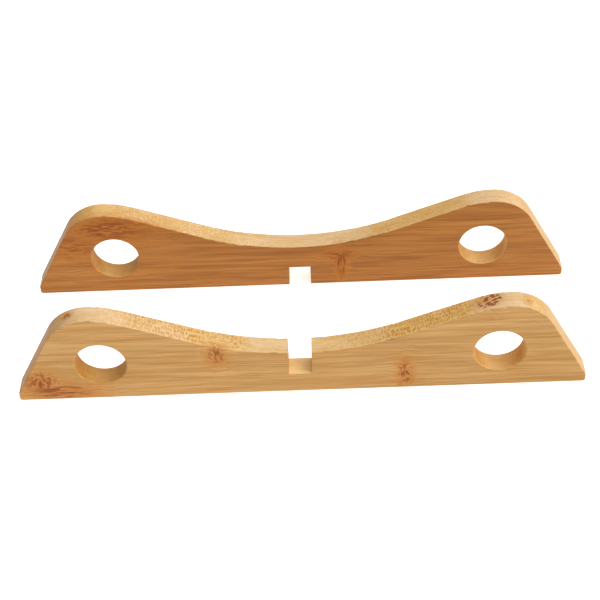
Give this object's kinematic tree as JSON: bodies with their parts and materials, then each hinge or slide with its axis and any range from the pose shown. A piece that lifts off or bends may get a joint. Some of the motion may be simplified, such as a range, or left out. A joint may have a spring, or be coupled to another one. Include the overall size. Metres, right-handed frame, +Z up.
{
  "type": "bowl stand",
  "caption": "Flat-pack bamboo stand for a round-bottomed bowl: saddle-topped boards with a round hole near each end, notched to cross in an X.",
  "frame": {"origin": "on the surface that the boards stand on, at the middle of their length and midway between them", "axes": "+X along the boards, +Y from the lower board towards the upper board, +Z up"},
  "size_m": [0.3, 0.099, 0.0545],
  "materials": {
    "pale_bamboo": "laminated bamboo, sanded and lightly oiled",
    "amber_bamboo": "laminated bamboo, sanded and lightly oiled, a darker strip lot"
  },
  "bodies": {
    "lower_board": {"lower_board": "pale_bamboo"},
    "upper_board": {"upper_board": "amber_bamboo"}
  },
  "joints": [
    {"name": "upper_board_lift", "type": "slide", "parent": "lower_board", "child": "upper_board", "axis": [0, 0, 1], "range_m": [0, 0.06]}
  ]
}
